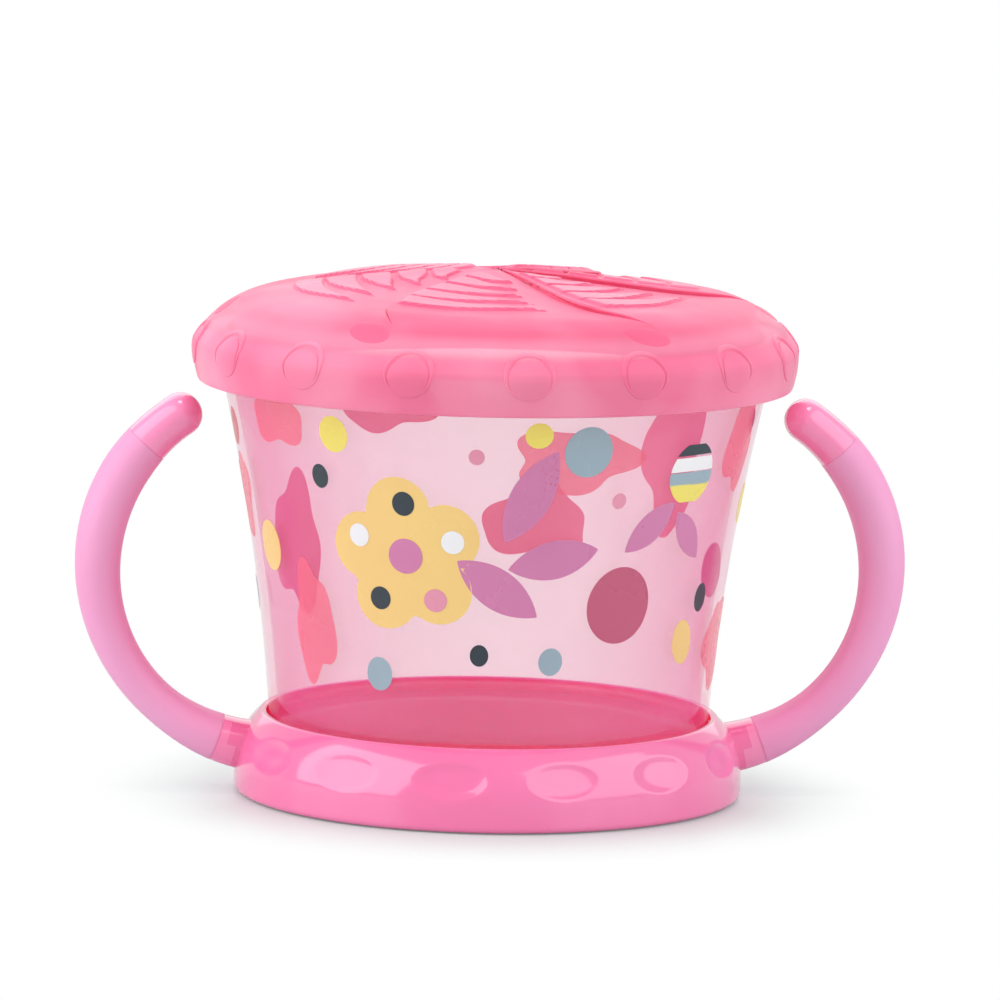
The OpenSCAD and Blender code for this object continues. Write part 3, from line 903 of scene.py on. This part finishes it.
def makeRings(rim):
    line, lengths = bandLine()
    deselectEverything()
    bpy.ops.mesh.primitive_torus_add(major_radius=rings["loop"], minor_radius=1,
                                     major_segments=56, minor_segments=12)
    loop = bpy.context.object
    for v in loop.data.vertices:
        # each loop is a fine line below and a bold one above
        around = math.atan2(v.co.y, v.co.x)
        major = math.hypot(v.co.x, v.co.y)
        share = rings["faintest"] + (1 - rings["faintest"]) * ease(-0.6, 0.7, math.sin(around))
        r = rings["loop"] + (major - rings["loop"]) * rings["line"] * share
        v.co = onBand(line, lengths, r * math.cos(around), r * math.sin(around),
                      v.co.z * rings["out"] * (0.4 + 0.6 * share) * 1.1)
    deselectEverything()
    bpy.ops.mesh.primitive_uv_sphere_add(segments=48, ring_count=24, radius=1)
    spot = bpy.context.object
    for v in spot.data.vertices:
        # a ball with a flattened top and bottom
        flat = math.copysign(abs(v.co.z) ** 0.45, v.co.z)
        v.co = onBand(line, lengths, v.co.x * rings["spot"], v.co.y * rings["spot"] - rings["spotDrop"],
                      flat * rings["out"])
    parts = [rim]
    for i in range(rings["count"]):
        turn = Matrix.Rotation(math.radians(rings["turn"] + i * 360 / rings["count"]), 4, "Z")
        for source in (loop, spot):
            part = source.copy()
            part.data = source.data.copy()
            part.data.transform(turn)
            bpy.context.scene.collection.objects.link(part)
            parts.append(part)
    for source in (loop, spot):
        bpy.data.objects.remove(source)
    return joinParts(parts)


# radii and heights in mm, turns in degrees, and the numbers of columns and rows of each flap's grid
flaps = {"count": 6, "tip": 1.0, "gap": 0.07, "gapCloses": 41.5, "turn": 20.0, "swirl": 20.0,
         "swirlFade": 5, "sweep": 12.5, "sweepFrom": 22, "high": 0.54, "low": -0.3, "calmFrom": 30,
         "flatFrom": 38, "flatAt": 42.4, "edge": 0.35, "edgeDrop": 0.3, "across": 110, "along": 150,
         "crowd": 0.14}

tongues = {"radii": [9.5, 15.0, 20.5, 26.0, 31.5], "half": 2.6, "out": 0.5, "lean": 3.0, "sway": 0.5,
           "waves": 7, "firstFrom": 5, "firstAt": 8, "lastAt": 35.5, "lastTo": 37}


def slitAngle(r):
    # where a slit runs, in degrees from its own spoke
    outer = max(r - flaps["sweepFrom"], 0) / (lid["seam"] - flaps["sweepFrom"])
    inner = math.exp(-r / flaps["swirlFade"])
    return flaps["turn"] + flaps["swirl"] * inner + flaps["sweep"] * outer ** 2


def tongueShare(r, s):
    # 1 on a long tongue that starts at the leading edge, sways and comes to a point, and 0 beside it
    best = 0
    for middle in tongues["radii"]:
        sway = tongues["sway"] * math.sin(tongues["waves"] * s + middle)
        centre = middle + tongues["lean"] * (s - 0.35) + sway
        half = tongues["half"] * (1 - ease(0.15, 0.95, s) * 1.08)
        best = max(best, ease(-0.05, 0.4, half - abs(r - centre)))
    best *= ease(0.02, 0.08, s) * ease(tongues["firstFrom"], tongues["firstAt"], r)
    return best * (1 - ease(tongues["lastAt"], tongues["lastTo"], r))


def flapRelief(r, s, width):
    # the raised leading edge, the sunk trailing edge and the long tongues raised between them
    root = 1 - ease(flaps["calmFrom"], flaps["flatAt"], r)
    ends = (1 - ease(flaps["flatFrom"], flaps["flatAt"], r)) * (0.4 + 0.6 * ease(0, 12, r))
    rise = flaps["high"] * (1 - ease(0, 0.5, s)) + flaps["low"] * ease(0.5, 1, s)
    tongue = tongueShare(r, s)
    rise = rise * (0.3 + 0.7 * root) * ends + tongues["out"] * tongue
    fromEdge = min(s, 1 - s) * width
    if fromEdge < flaps["edge"]:
        rounding = math.sqrt(max(1 - (1 - fromEdge / flaps["edge"]) ** 2, 0))
        rise -= flaps["edgeDrop"] * (1 - rounding) * root
    return rise, tongue


def makeFlap(number):
    # a grid wrapped on the dome between two slits, then given its thickness inwards
    deselectEverything()
    bpy.ops.mesh.primitive_grid_add(x_subdivisions=flaps["across"], y_subdivisions=flaps["along"], size=1)
    piece = bpy.context.object
    step = 360 / flaps["count"]
    spoke = step * (number - 1) - step
    raised = []
    for v in piece.data.vertices:
        s, t = 0.5 - v.co.x, v.co.y + 0.5
        # columns crowd towards both slits, so that the edges round off
        s -= flaps["crowd"] * math.sin(2 * math.pi * s) / (2 * math.pi)
        r = flaps["tip"] + (lid["seam"] - flaps["tip"]) * t
        width = math.radians(step) * r
        clear = flaps["gap"] / max(width, 1) * (1 - ease(flaps["gapCloses"], lid["seam"], r))
        share = clear + s * (1 - 2 * clear)
        angle = math.radians(spoke + slitAngle(r) + step * share)
        rise, tongue = flapRelief(r, s, width)
        raised.append(tongue)
        v.co = Vector((r * math.sin(angle), -r * math.cos(angle), domeHeight(r) + rise)) * mm
    for material in (lidRubber, lidEdgeRubber, tongueHighlightRubber, tongueShadeRubber):
        piece.data.materials.append(material)
    for face in piece.data.polygons:
        # plain skin, the denser outline of a tongue painted darker as shade, or the tongue itself painted
        # lighter as a highlight
        share = sum(raised[i] for i in face.vertices) / len(face.vertices)
        face.material_index = 0 if share < 0.1 else 3 if share < 0.8 else 2
    applyModifier(piece, "SOLIDIFY", thickness=lid["thick"] * mm, offset=-1, use_rim=True,
                  material_offset_rim=1)
    faceOutwards(piece)
    name = "flap_%d" % number
    finishPiece(piece, "lidFlap%d" % number, [], 35)
    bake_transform(piece)
    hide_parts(name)


lobes = {"radius": 44.9, "turn": 28.0, "long": 4.3, "high": 2.4, "out": 0.18, "slant": 0.18}


def makeLobes():
    # a low thick lobe where each slit ends, on the dome's ring
    line, lengths = bandLine()
    up = min(zip(line, lengths), key=lambda pair: abs(pair[0][0] - lobes["radius"]))[1]
    parts = []
    for i in range(flaps["count"]):
        deselectEverything()
        bpy.ops.mesh.primitive_uv_sphere_add(segments=40, ring_count=20, radius=1)
        part = bpy.context.object
        turn = math.radians(lobes["turn"] + 360 / flaps["count"] * i) * lid["bandOut"]
        for v in part.data.vertices:
            x, y = v.co.x * lobes["long"], v.co.y * lobes["high"]
            v.co = onBand(line, lengths, turn + x, up + y - lobes["slant"] * x, v.co.z * lobes["out"])
        parts.append(part)
    piece = finishPiece(joinParts(parts), "lidLobes", [lobeRubber], 40)
    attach(piece, "lid")


def makeLid():
    rim = makeRings(makeRim())
    finishPiece(rim, "lidRim", [rimRubber], 40)
    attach(rim, "lid")
    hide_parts("lid_rim")
    makeLobes()
    for number in range(1, flaps["count"] + 1):
        makeFlap(number)


makeLid()
print("lid made")
